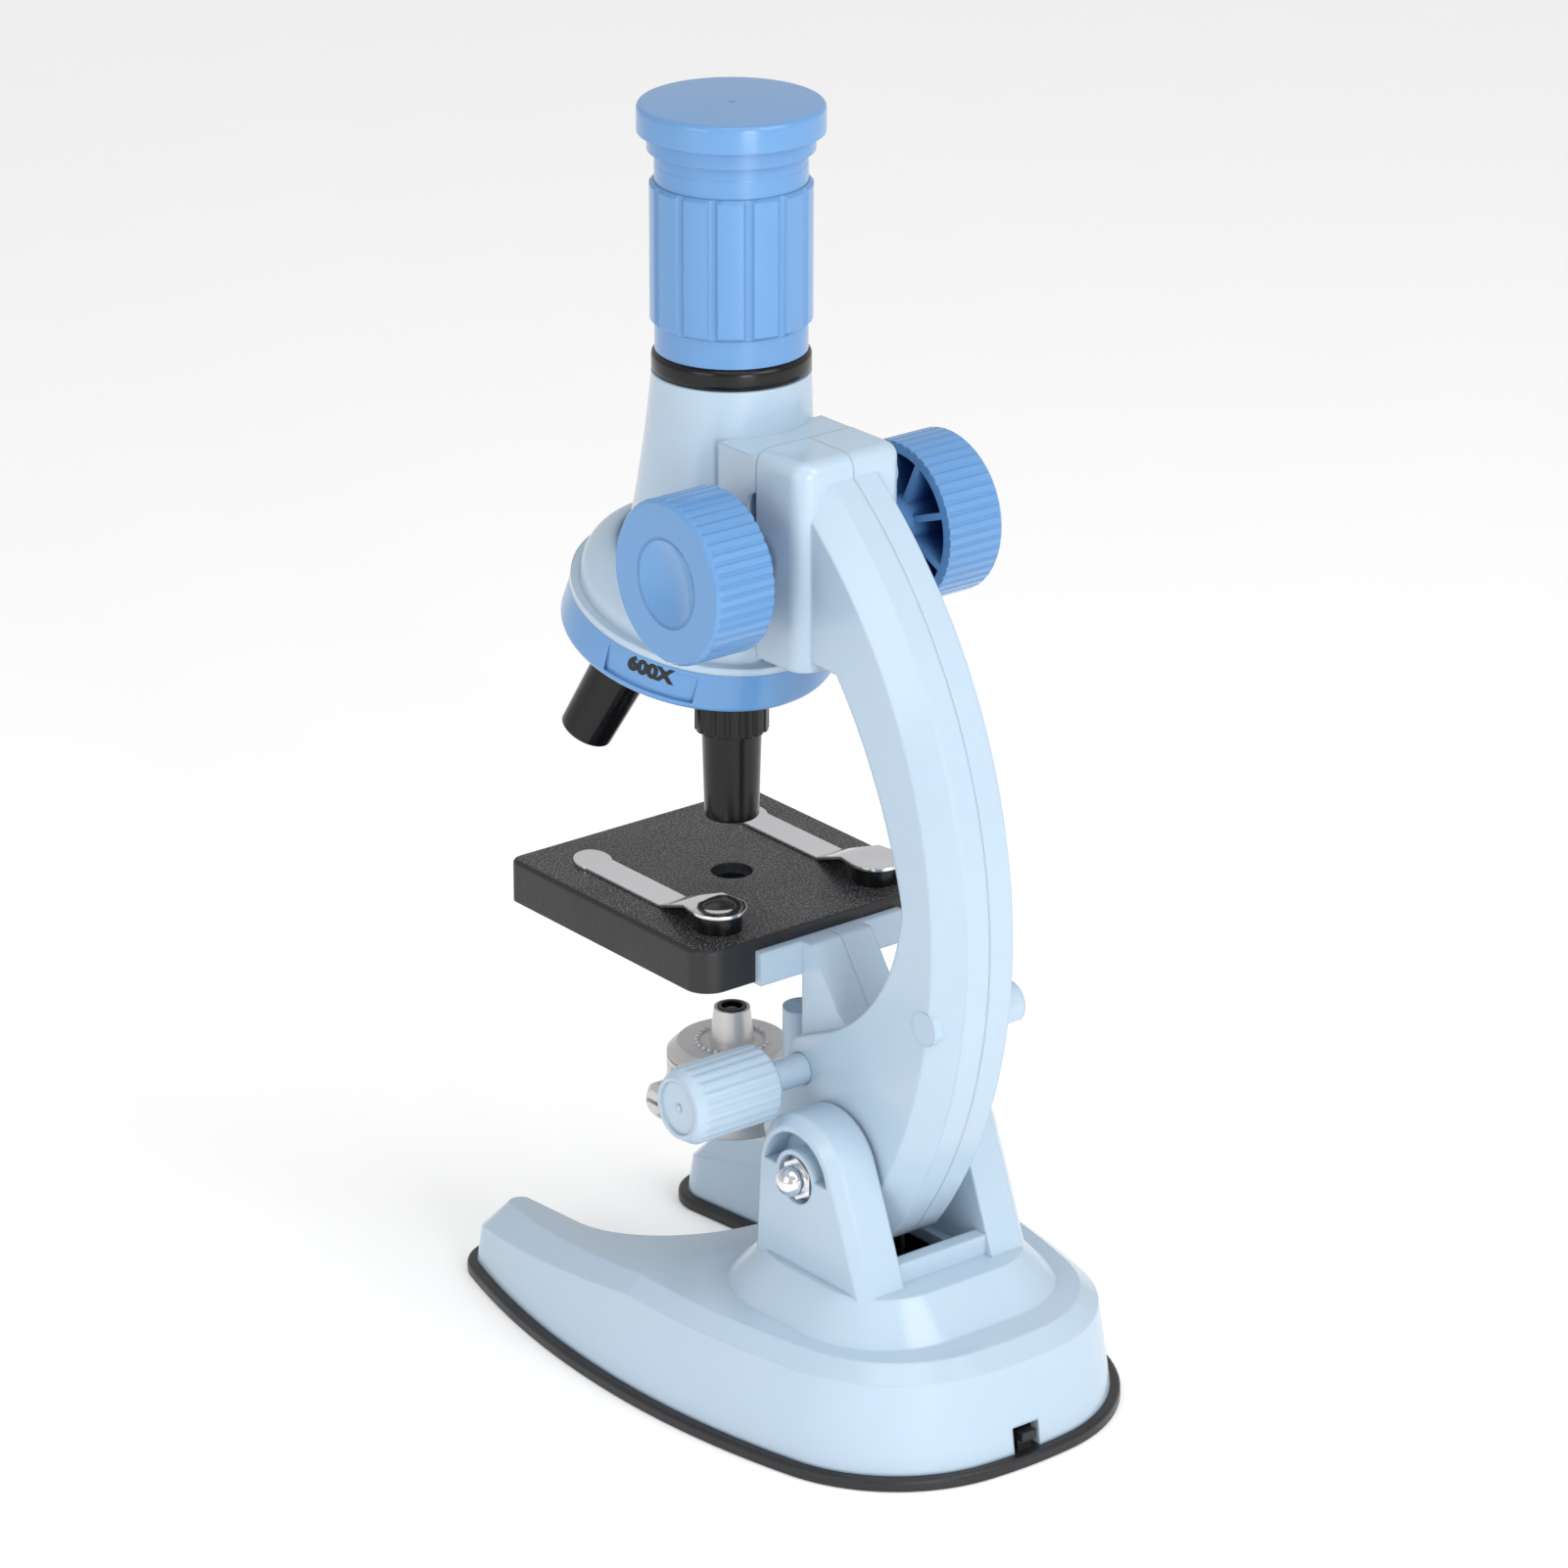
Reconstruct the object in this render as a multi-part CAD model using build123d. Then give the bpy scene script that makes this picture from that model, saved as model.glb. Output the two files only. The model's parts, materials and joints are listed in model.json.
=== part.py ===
"""Toy microscope in millimetres: +Z up, the stage and lamp side faces -Y, base centred on the origin."""

import os
from math import asin, atan2, cos, degrees, hypot, pi, radians, sin, sqrt

from build123d import *

os.makedirs("parts", exist_ok=True)

# Overall layout
OPTIC = -21.0  # y of the optical axis
PIVOT_Y, PIVOT_Z = 20.2, 43.1  # tilting hinge between base and arm
FOCUS_Y, FOCUS_Z = 0.4, 147.9  # focus shaft
LAMP_Z = 42.25  # lamp shaft, which runs along y
SWITCH_Y, SWITCH_Z = 9.3, 57.2  # lamp switch knob, which runs along x
RUN = 0.06  # radial clearance of a running fit
GAP = 0.15  # clearance between faces that slide past each other

# Base
HALF_LENGTH, HALF_WIDTH = 62.0, 40.6
RIM = 2.0  # thickness of the bottom plate
RIM_PROUD = 1.8  # how far the plate stands out from the shell
DECK = 20.4  # height of the shell's top
LEG_FALL = degrees(atan2(8.2, 58.0))  # slope of the legs' top
SKIN = 2.2
PLINTH_TOP = 27.0
EAR_IN, EAR_OUT, EAR_R = 9.65, 18.6, 11.3
SEAT = 16.0  # how far out the hinge washers sit
CELL_R, CELL_LENGTH, CELL_Z = 7.1, 50.0, 9.6
BAY_Y = 20.0  # middle of the battery bay
CELL_YS = (BAY_Y - 8.0, BAY_Y + 8.0)
BASE_SCREWS = ((24.0, -51.0), (-24.0, -51.0), (30.5, -8.0), (-30.5, -8.0), (0.0, 51.0))

# Arm
ARM_HALF = 8.8
BACK = (-46.2, 88.2)  # centre of the back's curve, as y and z
BACK_R, BACK_EDGE_R = 94.6, 89.8
WALL = 2.2
HEAD_HALF, HEAD_FRONT, HEAD_BACK = 11.1, -0.2, 11.9
HEAD_LOW, HEAD_TOP = 130.3, 166.8
STAGE_TOP, STAGE_DEEP, STAGE_HALF = 81.7, 7.8, 27.0
STAGE_FRONT, STAGE_BACK = -50.0, 5.5
SHELF_HALF, SHELF_TOP = 15.6, STAGE_TOP - 2.1
ARM_SCREWS = (
    (22.0, 52.5, ARM_HALF),
    (42.0, 76.0, ARM_HALF + 1.6),
    (34.0, 116.0, ARM_HALF),
    (6.3, 136.6, HEAD_HALF),
    (6.3, 160.8, HEAD_HALF),
)  # y, z and how far out each boss starts
CLIP_X, CLIP_Y = 17.3, -2.6

# Focusing slide: hooked rails on the head run in a channel in the tube's back
CHANNEL_Y, LIP_FRONT = -7.05, -4.4
RAIL_IN, RAIL_WEB, RAIL_HOOK = 5.7, 7.6, 9.4
RAIL_LOW, RAIL_TOP = 137.0, 155.4
SLIDE_LOW, SLIDE_TOP, CHANNEL_TOP = 131.5, 165.6, 163.6

# Rack and pinion
MODULE, TEETH = 0.8, 12
PITCH_R = MODULE * TEETH / 2
RACK_Y = FOCUS_Y - PITCH_R
SHAFT_R = 2.5
KNOB_R, KNOB_IN, KNOB_OUT = 14.2, 18.8, 30.6

# Tube, nosepiece and eyepiece
TUBE_TOP = 173.6
TURRET = (0.0, -30.3, 123.1)  # centre of the turret's lower face
TURRET_TILT = 16.4
TURRET_R, TURRET_DEEP = 24.4, 7.4
PANEL_ANGLE = 30.0
BOTTOM = (Align.CENTER, Align.CENTER, Align.MIN)


def rod_x(r, x0, x1, y, z):
    return Pos(x0, y, z) * Rot(0, 90, 0) * Cylinder(r, x1 - x0, align=BOTTOM)


def rod_y(r, y0, y1, x, z):
    return Pos(x, y0, z) * Rot(-90, 0, 0) * Cylinder(r, y1 - y0, align=BOTTOM)


def rod_z(r, z0, z1, x=0.0, y=0.0):
    return Pos(x, y, z0) * Cylinder(r, z1 - z0, align=BOTTOM)


def block(x0, x1, y0, y1, z0, z1):
    middle = Pos((x0 + x1) / 2, (y0 + y1) / 2, (z0 + z1) / 2)
    return middle * Box(x1 - x0, y1 - y0, z1 - z0)


def side_plate(outline, x0, x1):
    """A y-z outline thickened from x0 to x1."""
    return Pos(x0, 0, 0) * extrude(Plane.YZ * outline, amount=x1 - x0)


def both_sides(shape):
    return shape + mirror(shape, about=Plane.YZ)


def polar(centre, r, angle):
    return (centre[0] + r * cos(radians(angle)), centre[1] + r * sin(radians(angle)))


def heading(a, b):
    return degrees(atan2(b[1] - a[1], b[0] - a[0]))


def arc(centre, r, start, end):
    middle = (start + end) / 2
    return ThreePointArc(polar(centre, r, start), polar(centre, r, middle), polar(centre, r, end))


def crossing(c1, r1, c2, r2):
    """Where two circles cross, to the left of the line between their centres."""
    d = hypot(c2[0] - c1[0], c2[1] - c1[1])
    along = (r1 * r1 - r2 * r2 + d * d) / (2 * d)
    across = sqrt(r1 * r1 - along * along)
    ux, uy = (c2[0] - c1[0]) / d, (c2[1] - c1[1]) / d
    return (c1[0] + along * ux - across * uy, c1[1] + along * uy + across * ux)


def between(a, b, r):
    """Round bar from point a to point b."""
    run = Vector(b) - Vector(a)
    return Plane(origin=a, z_dir=run) * Cylinder(r, run.length, align=BOTTOM)


def bent_wire(points, r):
    body = between(points[0], points[1], r)
    for a, b in zip(points[1:], points[2:]):
        body = body + Pos(*a) * Sphere(r) + between(a, b, r)
    return body


def chain(points):
    return [Line(a, b) for a, b in zip(points, points[1:])]


# Where the detent ball sits, about the turret's axis
DETENT = polar((0, 0), 17.0, 150)


# ---------------------------------------------------------------- base


def foot_outline(inset=0.0):
    """Horseshoe seen from above: tangent arcs for crotch, leg tip, side, corner and heel."""
    crotch, crotch_r, crotch_end = (0.0, -32.0), 17.0, -6.5
    tip, tip_r = (24.0, -52.8), 9.2
    reach, fall = HALF_WIDTH - tip[0], -3.0 - tip[1]
    front_r = (reach**2 + fall**2 - tip_r**2) / (2 * (reach - tip_r))
    front = (HALF_WIDTH - front_r, -3.0)
    side_r, heel_r, corner_r = 165.0, 90.0, 30.0
    side, heel = (HALF_WIDTH - side_r, -3.0), (0.0, HALF_LENGTH - heel_r)
    corner = crossing(side, side_r - corner_r, heel, heel_r - corner_r)
    leave_tip = heading(front, tip)
    inner_leg = Line(
        polar(crotch, crotch_r + inset, crotch_end), polar(tip, tip_r - inset, 180 + crotch_end)
    )
    edges = [
        arc(crotch, crotch_r + inset, 90, crotch_end),
        inner_leg,
        arc(tip, tip_r - inset, 180 + crotch_end, 360 + leave_tip),
        arc(front, front_r - inset, leave_tip, 0),
        arc(side, side_r - inset, 0, heading(side, corner)),
        arc(corner, corner_r - inset, heading(side, corner), heading(heel, corner)),
        arc(heel, heel_r - inset, heading(heel, corner), 90),
        Line((0, HALF_LENGTH - inset), (0, crotch[1] + crotch_r + inset)),
    ]
    half = make_face(edges)
    return half + mirror(half, about=Plane.YZ)


def foot_solid(inset, low, top, slope_inset, bevel_inset, bevel_deep):
    """Drafted horseshoe from low to top, its legs sloping down to the front, with a bevelled edge."""
    ends = [Pos(0, 0, low) * foot_outline(inset), Pos(0, 0, top) * foot_outline(slope_inset)]
    walls = loft(ends, ruled=True)
    reach = 8.0
    grow = (bevel_inset - slope_inset) / bevel_deep * reach
    bevel = loft(
        [Pos(0, 0, -reach) * foot_outline(bevel_inset - grow), foot_outline(bevel_inset)], ruled=True
    )
    lid = Pos(0, 0, 20.5 - reach) * Box(160, 160, 40) - bevel
    heel = walls - Pos(0, 0, top) * lid - block(-60, 60, -90, -4, -1, 60)
    legs = walls - Pos(0, -4, top) * Rot(LEG_FALL, 0, 0) * Pos(0, 4, 0) * lid
    return heel + (legs - block(-60, 60, -4, 90, -1, 60))


def rounded(x, y0, y1, z, r):
    return Pos(0, (y0 + y1) / 2, z) * RectangleRounded(2 * x, y1 - y0, r)


def plinth(shrink=0.0, low=DECK - 2.0):
    """Sloping pedestal under the ears."""
    foot = rounded(26.5 - shrink, -1.5 + shrink, 49 - shrink, DECK - 0.4, 19 - shrink)
    head = rounded(19.8 - shrink, 5.5 + shrink, 42.5 - shrink, PLINTH_TOP - shrink, 12 - shrink)
    return loft([foot, head], ruled=True) + extrude(foot, amount=low - DECK + 0.4)


def ear_outline(r, front, back, low):
    """Round-topped ear with straight edges down to front and back at height low."""
    pivot = (PIVOT_Y, PIVOT_Z)
    corners = ((front, low), (back, low))
    touch = []
    for corner, side in zip(corners, (-1, 1)):
        swing = degrees(asin(r / hypot(corner[0] - pivot[0], corner[1] - pivot[1])))
        touch.append(heading(pivot, corner) + side * (90 - swing))
    left = polar(pivot, r, touch[0])
    right = polar(pivot, r, touch[1])
    top = ThreePointArc(left, polar(pivot, r, 95), right)
    return make_face([Line(corners[1], corners[0]), Line(corners[0], left), top, Line(right, corners[1])])


def ear():
    """The +X ear: bevelled outside, arched pocket over a round boss, counterbored for the nut."""
    body = side_plate(ear_outline(EAR_R, 7.8, 39.2, PLINTH_TOP - 1), EAR_IN, EAR_OUT)
    rim = [e for e in body.faces().sort_by(Axis.X)[-1].edges() if e.center().Z > PLINTH_TOP]
    body = chamfer(rim, 1.9)
    arch = rod_x(8.4, 14.0, EAR_OUT + 1, PIVOT_Y, PIVOT_Z) - rod_x(5.3, 13.0, EAR_OUT + 2, PIVOT_Y, PIVOT_Z)
    arch = arch - block(10, 25, 0, 40, 30, PIVOT_Z + 1.2)
    body = body - arch - rod_x(4.35, SEAT, EAR_OUT + 1, PIVOT_Y, PIVOT_Z)
    body = body - block(12.2, 16.2, 13.5, 30, 20, 31)
    return body - rod_x(2.05, 5, 25, PIVOT_Y, PIVOT_Z)


def screw_posts(low):
    posts = [rod_z(3.3, low, 11.5, x, y) for x, y in BASE_SCREWS[:2]]
    posts += [rod_z(3.3, low, DECK - 1.5, x, y) for x, y in BASE_SCREWS[2:]]
    return posts


def base_shell():
    low = RIM
    outer = foot_solid(RIM_PROUD, low, DECK, 4.5, 7.4, 2.4)
    inner = foot_solid(RIM_PROUD + SKIN, low - 0.5, DECK - SKIN, 4.5 + SKIN, 8.7, 2.2)
    body = outer + plinth() + both_sides(ear())
    body = body + block(-EAR_IN - 0.5, EAR_IN + 0.5, 34.5, 37.2, PLINTH_TOP - 1, 30.8)
    body = body - inner - plinth(SKIN, DECK - SKIN - 1.0)
    for post in screw_posts(low):
        body = body + (post & outer)
    for x, y in BASE_SCREWS:
        body = body - rod_z(1.3, low - 1, 9.5, x, y)
    body = body - block(-7.5, 7.5, 12.5, 33.5, DECK - 3, 35)
    return body - block(-2.8, 2.8, 52, 64, low - 1, 6.6)


def base_plate():
    """Bottom plate with proud rim, snap tab, battery walls and a door opening."""
    body = extrude(foot_outline(), amount=RIM)
    body = fillet([e for e in body.faces().sort_by(Axis.Z)[-1].edges()], 0.7)
    lip = foot_outline(RIM_PROUD + SKIN + 0.5) - foot_outline(RIM_PROUD + SKIN + 1.9)
    body = body + extrude(lip, amount=RIM + 1.6)
    for x, y in BASE_SCREWS:
        body = body - rod_z(3.7, RIM, RIM + 4, x, y)
    y0, y1 = BAY_Y - 16.0, BAY_Y + 16.0
    wall = block(-29.4, 29.4, y0 - 1.5, y1 + 1.5, 0.5, 11.0) - block(-27.9, 27.9, y0, y1, 0, 12)
    cradle = block(-27.9, 27.9, BAY_Y - 1.8, BAY_Y + 1.8, RIM, 6.0)
    for y in CELL_YS:
        cradle = cradle - rod_x(CELL_R + 0.3, -30, 30, y, CELL_Z)
    body = body + wall + cradle
    body = body - block(-27.9, 27.9, y0, y1, -1, 1.0) - block(-26.5, 26.5, y0 + 1.4, BAY_Y - 1.8, -1, 3)
    body = body - block(-26.5, 26.5, BAY_Y + 1.8, y1 - 1.4, -1, 3)
    body = body - rod_z(1.0, -1, 5.0, 0, BAY_Y)
    for x, y in BASE_SCREWS:
        body = body - rod_z(1.6, -1, 5, x, y) - rod_z(2.9, -1, 1.1, x, y)
    tab = block(-1.5, 1.5, 56.2, 59.4, RIM - 0.5, 5.6) + block(-1.5, 1.5, 57.4, 60.6, 4.0, 5.6)
    return body + tab


def battery_door():
    body = block(-27.7, 27.7, BAY_Y - 15.8, BAY_Y + 15.8, 0.0, 0.9)
    for i in range(9):
        grip = BAY_Y - 8.5 + 2 * i
        body = body - block(-20, -12, grip, grip + 1, -1, 0.3)
    return body - rod_z(1.3, -1, 2, 0, BAY_Y) - Pos(0, BAY_Y, 0) * Cone(2.4, 1.3, 0.8, align=BOTTOM)


def self_tapper(x, y, head_z, head_r, length, r=1.28):
    """Pan-head screw pointing up, its head's lower face at head_z, with a cross slot."""
    body = rod_z(head_r, head_z, head_z + 0.9, x, y) + rod_z(r, head_z, head_z + length - 1, x, y)
    body = body + Pos(x, y, head_z + length - 1) * Cone(r, 0.3, 1.0, align=BOTTOM)
    slot = Box(head_r * 1.3, 0.4, 0.8) + Box(0.4, head_r * 1.3, 0.8)
    return body - Pos(x, y, head_z) * slot


def base_screws():
    return [self_tapper(x, y, 0.2, 2.6, 8.8) for x, y in BASE_SCREWS]


def door_screw():
    body = Pos(0, BAY_Y, 0.02) * Cone(2.3, 1.25, 0.75, align=BOTTOM) + rod_z(0.95, 0.5, 4.6, 0, BAY_Y)
    return body - Pos(0, BAY_Y, 0) * (Box(2.8, 0.4, 0.6) + Box(0.4, 2.8, 0.6))


def battery_cells():
    """Two round cells side by side, laid opposite ways."""
    cells = []
    for y, way in zip(CELL_YS, (1, -1)):
        body = rod_x(CELL_R, -CELL_LENGTH / 2 + 0.6, CELL_LENGTH / 2 - 1.4, y, CELL_Z)
        body = body + rod_x(2.7, CELL_LENGTH / 2 - 1.4, CELL_LENGTH / 2, y, CELL_Z)
        body = body + rod_x(4.6, -CELL_LENGTH / 2, -CELL_LENGTH / 2 + 0.6, y, CELL_Z)
        cells.append(body if way > 0 else Pos(0, 2 * y, 0) * Rot(0, 0, 180) * body)
    return cells


def battery_contacts():
    """A flat plate at each positive end and a tapering spring at each negative end."""
    parts = []
    for y, way in zip(CELL_YS, (1, -1)):
        turn = Pos(0, 0, 0) if way > 0 else Pos(0, 2 * y, 0) * Rot(0, 0, 180)
        tray = block(25.3, 27.7, y - 4, y + 4, 4, 13) - block(25.2, 27.3, y - 3, y + 3, 5, 12)
        parts.append(turn * tray)
        plate = block(-27.7, -27.3, y - 4, y + 4, 4, 13)
        for k in range(3):
            ring = Torus(3.6 - 0.45 * k, 0.35)
            plate = plate + Pos(-27.0 + 0.5 * k, y, CELL_Z) * Rot(0, 90, 0) * ring
        parts.append(turn * (plate + rod_x(0.7, -27.4, -25.1, y, CELL_Z)))
    return parts


def base_wires():
    """Two leads from the contacts to the slot between the ears."""
    leads = []
    for x in (-1.1, 1.1):
        path = ((x * 14, 38.5, 6), (x * 8, 41, 13), (x, 34, 16.8), (x, 25, 18), (x, 25, 27.6))
        leads.append(bent_wire(path, 0.55))
    return leads


def pivot_washers():
    hole = rod_x(2.05, -20, 20, PIVOT_Y, PIVOT_Z)
    return [rod_x(4.1, x, x + 0.8, PIVOT_Y, PIVOT_Z) - hole for x in (-SEAT - 0.8, SEAT)]


def pivot_bolt():
    under = -SEAT - 0.8
    head = rod_x(3.6, under - 2.4, under, PIVOT_Y, PIVOT_Z)
    head = fillet(head.edges().sort_by(Axis.X)[0], 1.2)
    slot = Pos(under - 2.4, PIVOT_Y, PIVOT_Z) * (Box(2.4, 4.4, 0.8) + Box(2.4, 0.8, 4.4))
    return head + rod_x(2.0, under - 0.5, SEAT + 3.4, PIVOT_Y, PIVOT_Z) - slot


def pivot_nut():
    """Domed nut on the +X end."""
    flats = extrude(RegularPolygon(3.9, 6), amount=1.6)
    body = Pos(SEAT + 0.8, PIVOT_Y, PIVOT_Z) * Rot(0, 90, 0) * flats
    crown = SEAT + 3.4
    body = body + rod_x(2.7, SEAT + 2.0, crown, PIVOT_Y, PIVOT_Z) + Pos(crown, PIVOT_Y, PIVOT_Z) * Sphere(2.7)
    return body - rod_x(2.0, SEAT, crown + 0.1, PIVOT_Y, PIVOT_Z)


# ---------------------------------------------------------------- arm


def arm_outline():
    """C-shaped arm seen from the side, as y and z."""
    crown = (BACK[0] + sqrt(BACK_R**2 - (HEAD_TOP - 1.5 - BACK[1]) ** 2), HEAD_TOP - 1.5)
    edges = [
        ThreePointArc((29.9, 32.0), (BACK[0] + BACK_R, BACK[1]), crown),
        Line(crown, (1.8, crown[1])),
        Line((1.8, crown[1]), (1.8, 132.0)),
        Line((1.8, 132.0), (18.4, 132.0)),
        ThreePointArc((18.4, 132.0), (30.5, 112.0), (35.9, 96.0)),
        ThreePointArc((35.9, 96.0), (31.0, 79.5), (17.3, 66.8)),
        *chain([(17.3, 66.8), (7.5, 62.4), (-0.9, 42.7), (0.5, 39.3), (9.6, 32.5)]),
        ThreePointArc((9.6, 32.5), (19.5, 28.1), (29.9, 32.0)),
    ]
    return make_face(edges)


def back_form(shrink=0.0):
    """Drum whose rim gives the arm's back its flat with two bevels."""
    flat, edge, half = BACK_R - shrink, BACK_EDGE_R - shrink, ARM_HALF - shrink
    bevel = Rot(0, 90, 0) * Pos(0, 0, 5) * Cone(flat, edge, half - 5, align=BOTTOM)
    drum = Rot(0, 90, 0) * Cylinder(flat, 10) + both_sides(bevel)
    return Pos(0, *BACK) * drum


def head_form():
    body = block(-HEAD_HALF, HEAD_HALF, HEAD_FRONT, HEAD_BACK, HEAD_LOW, HEAD_TOP)
    upright = body.edges().filter_by(Axis.Z).sort_by(Axis.Y)[-2:]
    body = fillet(upright, 3.6)
    crown = [e for e in body.faces().sort_by(Axis.Z)[-1].edges() if e.center().Y > HEAD_FRONT + 0.1]
    return fillet(crown, 2.6)


def tower_form():
    corners = [(6.9, 58), (6.9, SHELF_TOP), (9.3, SHELF_TOP), (16.7, 69.4), (22, 66), (22, 58), (6.9, 58)]
    return side_plate(make_face(chain(corners)), -6.6, 6.6)


def shelf_form():
    """Light-blue tray under the stage."""
    y0, y1 = STAGE_FRONT + 7, 6.9
    body = block(-SHELF_HALF, SHELF_HALF, y0, y1, SHELF_TOP - 6.1, SHELF_TOP - 2.0)
    body = body - block(2 - SHELF_HALF, SHELF_HALF - 2, y0 + 2, y1 - 2, SHELF_TOP - 7, SHELF_TOP - 4.0)
    for x in (-6.5, 4.9):
        body = body + block(x, x + 1.6, y0 + 1, y1 - 1, SHELF_TOP - 6.1, SHELF_TOP - 3)
    body = body + block(-SHELF_HALF, SHELF_HALF, y1 - 1.9, y1, SHELF_TOP - 6.1, SHELF_TOP)
    body = body - rod_z(4.6, 60, 90, 0, OPTIC)
    for x, y in stage_screw_spots():
        body = body + rod_z(3.2, SHELF_TOP - 6.1, SHELF_TOP - 3, x, y) - rod_z(1.6, 60, 90, x, y)
        body = body - rod_z(2.9, 60, SHELF_TOP - 4.6, x, y)
    return body


def stage_screw_spots():
    return [(x, y) for x in (-12.0, 12.0) for y in (-38.0, -6.0)]


def guide_form():
    """Two hooked rails on the head's front, with bearings for the focus shaft."""
    web = block(RAIL_IN, RAIL_WEB, LIP_FRONT - 0.2, HEAD_FRONT + 0.5, RAIL_LOW, RAIL_TOP)
    hook = block(RAIL_IN, RAIL_HOOK, CHANNEL_Y + GAP, LIP_FRONT - GAP, RAIL_LOW, RAIL_TOP)
    return both_sides(web + hook + rod_x(4.0, RAIL_IN, RAIL_WEB, FOCUS_Y, FOCUS_Z))


def arm_solid():
    """Both arm halves as one, hollow, before the split along the seam."""
    outline = arm_outline()
    outer = side_plate(outline, -ARM_HALF, ARM_HALF) & back_form()
    hollow = side_plate(offset(outline, -WALL), WALL - ARM_HALF, ARM_HALF - WALL) & back_form(WALL)
    post = rod_z(3.6, 35.5, 63, 0, -1.0)
    body = outer + head_form() + tower_form() + shelf_form() + post
    front, rear = HEAD_FRONT + WALL, HEAD_BACK - WALL
    room = block(WALL - HEAD_HALF, HEAD_HALF - WALL, front, rear, HEAD_LOW + WALL, HEAD_TOP - WALL)
    body = body - hollow - room + guide_form()
    body = body - block(-RAIL_IN, RAIL_IN, -5, 10, 141, 155)
    body = body + rod_x(4.6, GAP - EAR_IN, EAR_IN - GAP, PIVOT_Y, PIVOT_Z)
    for y, z, out in ARM_SCREWS:
        body = body + rod_x(3.6, -out, -5, y, z) + rod_x(3.0, -6, min(out, HEAD_HALF) - 1.5, y, z)
    body = body - rod_x(2.0 + RUN, -20, 20, PIVOT_Y, PIVOT_Z)
    body = body - rod_x(SHAFT_R + RUN, -20, 20, FOCUS_Y, FOCUS_Z)
    body = body - rod_x(2.8 + RUN, 6.9, 20, SWITCH_Y, SWITCH_Z) - rod_x(3.1, -3.2, 7.1, SWITCH_Y, SWITCH_Z)
    body = body - rod_y(2.4 + RUN, -10, 5, 0, LAMP_Z) - rod_y(3.5, 1.2, 4.6, 0, LAMP_Z)
    body = body - block(-2.2, 2.2, 16, 27, 26, 32)
    for y, z, out in ARM_SCREWS:
        body = body - rod_x(1.3, -out, 7.5, y, z) - rod_x(2.5, -out - 1, -out + 1.6, y, z)
    return body


def arm_halves():
    body = arm_solid()
    right = body & block(0, 40, -80, 80, 0, 200)
    left = body & block(-40, 0, -80, 80, 0, 200)
    return right, left


def arm_screws():
    screws = []
    for y, z, out in ARM_SCREWS:
        screw = self_tapper(0, 0, 0, 2.3, out + 6.0)
        screws.append(Pos(-out + 0.7, y, z) * Rot(0, 90, 0) * screw)
    return screws


def stage():
    """Black tray with a light hole, open at the back for the shelf."""
    top, low = STAGE_TOP, STAGE_TOP - STAGE_DEEP
    body = block(-STAGE_HALF, STAGE_HALF, STAGE_FRONT, STAGE_BACK, low, top)
    upright = body.edges().filter_by(Axis.Z).sort_by(Axis.Y)
    body = fillet(upright[:2], 2.2)
    body = fillet(body.edges().filter_by(Axis.Z).sort_by(Axis.Y)[-2:], 4.6)
    body = fillet(body.faces().sort_by(Axis.Z)[-1].edges(), 0.9)
    inside = block(2 - STAGE_HALF, STAGE_HALF - 2, STAGE_FRONT + 2, STAGE_BACK - 2, low - 1, top - 2.0)
    body = body - inside - block(-SHELF_HALF - GAP, SHELF_HALF + GAP, 0, 10, low - 1, top - 2.0)
    for side in (-1, 1):
        body = body + rod_z(4.0, top - 3.9, top - 1, side * CLIP_X, CLIP_Y)
        body = body - rod_z(2.4 + RUN, low, top + 1, side * CLIP_X, CLIP_Y)
    for x, y in stage_screw_spots():
        body = body + rod_z(3.0, top - 4.05, top - 1, x, y) - rod_z(1.3, low, top - 0.8, x, y)
    return body - rod_z(3.7, low, top + 1, 0, OPTIC)


def stage_screws():
    return [self_tapper(x, y, SHELF_TOP - 5.5, 2.3, 6.6) for x, y in stage_screw_spots()]


def switch_body():
    face = ARM_HALF - WALL - 0.1
    body = rod_x(3.0, -3.0, face, SWITCH_Y, SWITCH_Z) + block(-3.0, face, SWITCH_Y, 16.5, 53.6, 59.4)
    return body - rod_x(1.5 + RUN, -1.0, 8, SWITCH_Y, SWITCH_Z)


def switch_spindle():
    return rod_x(1.5, -0.9, 14, SWITCH_Y, SWITCH_Z) - block(-0.95, 5, SWITCH_Y + 0.8, 20, 50, 62)


def arm_wires():
    leads = []
    for x in (-1.1, 1.1):
        path = ((x, 24.5, 31.8), (x * 4.5, 27.5, 36), (x * 4.5, 28.5, 52), (x * 2, 26, 59), (x, 17.3, 58))
        leads.append(bent_wire(path, 0.55))
    return leads


# ---------------------------------------------------------------- focusing


def ribbed_disc(r, ribs, groove, thick):
    cuts = [Pos(*polar((0, 0), r + 0.15, 360 * k / ribs)) * Circle(groove) for k in range(ribs)]
    return extrude(Circle(r) - cuts, amount=thick)


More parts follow.
